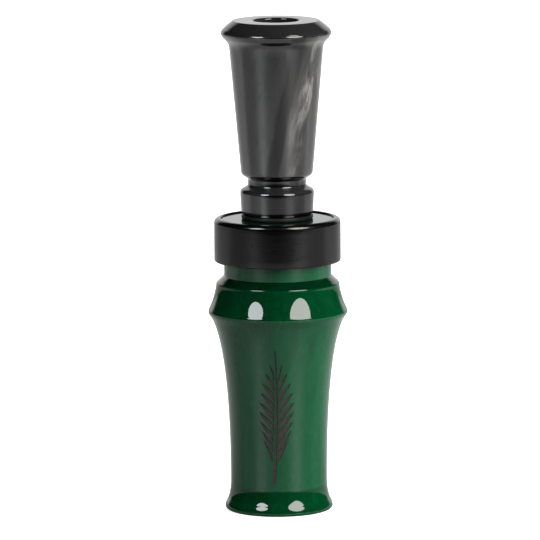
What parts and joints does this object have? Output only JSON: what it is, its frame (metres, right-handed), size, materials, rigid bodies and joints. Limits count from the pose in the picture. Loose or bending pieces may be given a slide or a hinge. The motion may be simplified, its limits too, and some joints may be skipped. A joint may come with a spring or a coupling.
{
  "type": "duck call",
  "caption": "Turned duck call: flared acrylic barrel with a metal band, and a push-in insert with tone board, reeds and cork wedge.",
  "frame": {"origin": "centre of the barrel's flat mouth end face", "axes": "+Z along the call's axis towards the exhaust end; the tone board's flat face, with the reeds on it, looks to -Y"},
  "size_m": [0.0368, 0.0368, 0.13],
  "materials": {
    "green_acrylic": "polished cast acrylic, deep green",
    "black_aluminium": "black anodised, fine turned",
    "black_pearl_acrylic": "polished cast acrylic, black with silver pearl",
    "tone_board_acrylic": "machined black acrylic",
    "black_rubber": "smooth nitrile",
    "cork": "cut cork",
    "reed_film": "frosted polyester film"
  },
  "bodies": {
    "barrel": {"barrel": "green_acrylic", "band": "black_aluminium"},
    "seals": {"seat_o_ring": "black_rubber", "upper_o_ring": "black_rubber", "lower_o_ring": "black_rubber"},
    "insert": {"insert_stem": "black_pearl_acrylic", "tone_board": "tone_board_acrylic", "lower_reed_root": "reed_film", "upper_reed_root": "reed_film"},
    "lower_reed": {"lower_reed_tongue": "reed_film"},
    "upper_reed": {"upper_reed_tongue": "reed_film"},
    "wedge": {"wedge_cork": "cork"}
  },
  "joints": [
    {"name": "insert_slide", "type": "slide", "parent": "barrel", "child": "seals", "axis": [0, 0, 1], "range_m": [0, 0.072]},
    {"name": "insert_twist", "type": "hinge", "parent": "seals", "child": "insert", "pos_m": [0, 0, 0.0705], "axis": [0, 0, 1], "continuous": true},
    {"name": "lower_reed_flex", "type": "hinge", "parent": "insert", "child": "lower_reed", "pos_m": [0, -0.0013, 0.05195], "axis": [1, 0, 0], "range_deg": [0, 1.5], "stiffness_Nm_per_rad": 0.0057},
    {"name": "upper_reed_flex", "type": "hinge", "parent": "insert", "child": "upper_reed", "pos_m": [0, -0.0013, 0.05195], "axis": [1, 0, 0], "range_deg": [0, 1.5], "stiffness_Nm_per_rad": 0.0057},
    {"name": "wedge_slide", "type": "slide", "parent": "insert", "child": "wedge", "axis": [0, 0, -1], "range_m": [0, 0.012]}
  ],
  "couplings": [
    {"joint": "upper_reed_flex", "follows": "lower_reed_flex", "ratio": 1}
  ]
}
